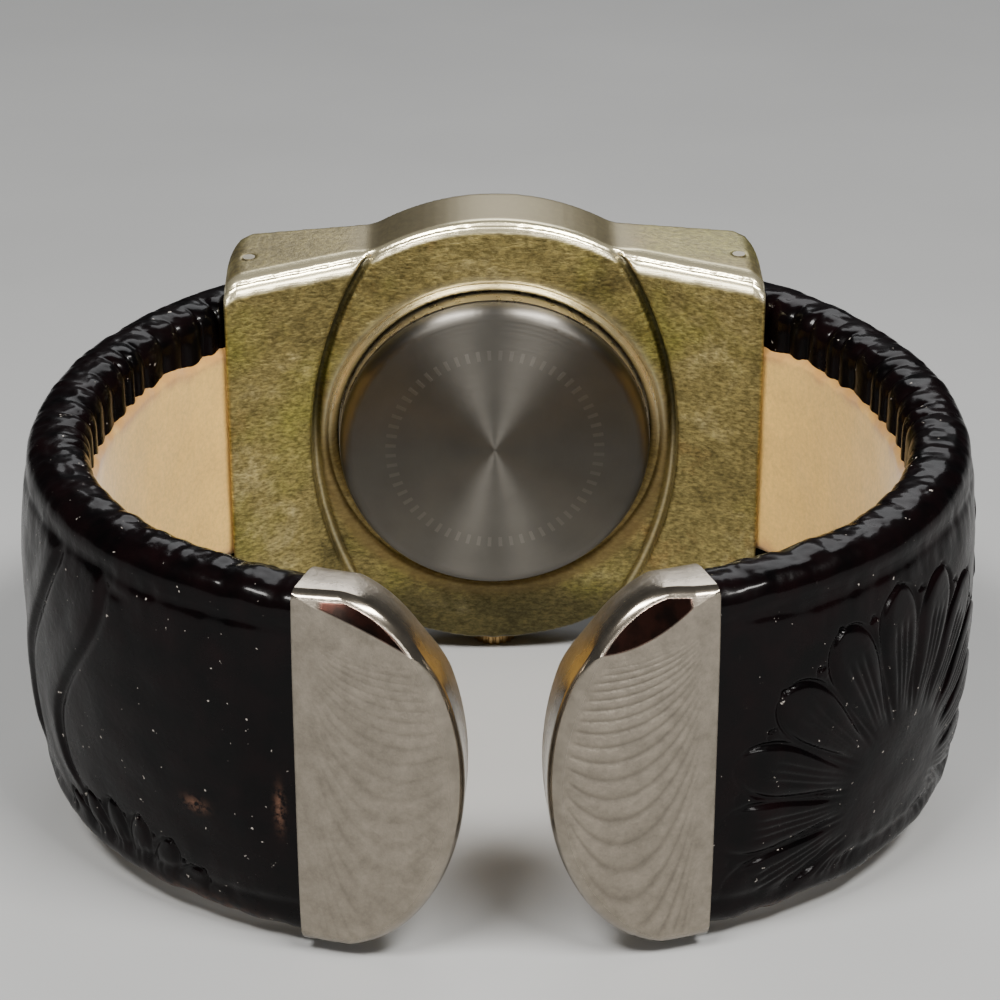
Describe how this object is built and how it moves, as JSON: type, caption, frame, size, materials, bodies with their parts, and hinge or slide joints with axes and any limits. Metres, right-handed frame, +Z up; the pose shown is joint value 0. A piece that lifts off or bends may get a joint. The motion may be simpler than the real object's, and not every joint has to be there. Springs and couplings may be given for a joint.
{
  "type": "cuff watch",
  "caption": "Rigid cuff watch with a cast metal head, round steel snap back, two leather covered sprung arms and metal end caps at the gap.",
  "frame": {"origin": "under the middle of the bounding box, level with the end of the crown", "axes": "+Z up along the wrist's axis, +X across the cuff, +Y from the gap to the watch head; the dial faces +Y, with 12 at -X and the crown (3) at -Z"},
  "size_m": [0.068, 0.0596, 0.0386],
  "materials": {
    "cast_head": "cast, tarnished yellow-green plating, satin",
    "plated_case": "plated, satin",
    "steel_back": "turned with fine circular lines",
    "nickel_cap": "satin nickel plate with fine curved ridges",
    "black_leather": "glossy embossed leather, worn at the edges",
    "tan_suede": "matt suede",
    "foam": "soft foam",
    "spring_steel": "plain rolled",
    "pin_steel": "turned",
    "mineral_glass": "clear, polished",
    "black_rubber": "matt",
    "white_plastic": "moulded",
    "dial_paint": "satin cream paint",
    "gilt_metal": "polished",
    "crown_gilt": "worn gilt",
    "movement_brass": "plain",
    "battery_steel": "plain",
    "copper_coil": "enamelled copper wire",
    "green_board": "coated board"
  },
  "bodies": {
    "head": {"head_case": "cast_head", "inner_case": "plated_case", "case_back": "steel_back", "case_back_gasket": "black_rubber", "bezel_ring": "cast_head", "crystal": "mineral_glass", "crystal_gasket": "white_plastic", "dial": "dial_paint", "dial_ring": "plated_case", "hour_markers": "gilt_metal", "movement_holder": "white_plastic", "main_plate": "movement_brass", "train_bridge": "movement_brass", "battery": "battery_steel", "battery_clip": "battery_steel", "coil": "copper_coil", "stator": "battery_steel", "rotor": "battery_steel", "circuit_board": "green_board", "quartz_can": "battery_steel", "crown_tube": "plated_case", "right_hinge_pin": "pin_steel", "left_hinge_pin": "pin_steel", "right_hinge_spring": "spring_steel", "left_hinge_spring": "spring_steel"},
    "left_arm": {"left_core": "spring_steel", "left_padding": "foam", "left_leather": "black_leather", "left_lining": "tan_suede", "left_end_cap": "nickel_cap"},
    "right_arm": {"right_core": "spring_steel", "right_padding": "foam", "right_leather": "black_leather", "right_lining": "tan_suede", "right_end_cap": "nickel_cap"},
    "hour_train": {"hour_wheel": "movement_brass", "hour_hand": "gilt_metal"},
    "minute_train": {"cannon_pinion": "movement_brass", "minute_hand": "gilt_metal"},
    "second_train": {"second_wheel": "movement_brass", "second_hand": "gilt_metal"},
    "third_train": {"third_wheel": "movement_brass"},
    "minute_idler": {"minute_wheel": "movement_brass"},
    "stem_slide": {"crown_seal": "black_rubber"},
    "crown": {"crown": "crown_gilt", "winding_stem": "pin_steel"}
  },
  "joints": [
    {"name": "left_arm_hinge", "type": "hinge", "parent": "head", "child": "left_arm", "pos_m": [-0.0192, 0.02407, 0.01995], "axis": [0, 0, -1], "range_deg": [0, 25], "stiffness_Nm_per_rad": 0.12, "springref_deg": -22.92},
    {"name": "right_arm_hinge", "type": "hinge", "parent": "head", "child": "right_arm", "pos_m": [0.0192, 0.02407, 0.01995], "axis": [0, 0, 1], "range_deg": [0, 25], "stiffness_Nm_per_rad": 0.12, "springref_deg": -22.92},
    {"name": "minute_spin", "type": "hinge", "parent": "head", "child": "minute_train", "pos_m": [0, 0.02662, 0.01995], "axis": [0, -1, 0], "continuous": true},
    {"name": "hour_spin", "type": "hinge", "parent": "head", "child": "hour_train", "pos_m": [0, 0.02662, 0.01995], "axis": [0, -1, 0], "continuous": true},
    {"name": "second_spin", "type": "hinge", "parent": "head", "child": "second_train", "pos_m": [0, 0.02662, 0.01995], "axis": [0, -1, 0], "continuous": true},
    {"name": "third_wheel_spin", "type": "hinge", "parent": "head", "child": "third_train", "pos_m": [0.00221, 0.02562, 0.02123], "axis": [0, -1, 0], "continuous": true},
    {"name": "minute_wheel_spin", "type": "hinge", "parent": "head", "child": "minute_idler", "pos_m": [-0.0012, 0.02642, 0.01835], "axis": [0, -1, 0], "continuous": true},
    {"name": "crown_pull", "type": "slide", "parent": "head", "child": "stem_slide", "axis": [0, 0, -1], "range_m": [0, 0.001]},
    {"name": "crown_turn", "type": "hinge", "parent": "stem_slide", "child": "crown", "pos_m": [0, 0.02577, 0], "axis": [0, 0, -1], "continuous": true}
  ],
  "couplings": [
    {"joint": "hour_spin", "follows": "minute_spin", "ratio": 0.083333},
    {"joint": "minute_wheel_spin", "follows": "minute_spin", "ratio": -0.33333},
    {"joint": "third_wheel_spin", "follows": "minute_spin", "ratio": -8},
    {"joint": "second_spin", "follows": "minute_spin", "ratio": 60}
  ]
}
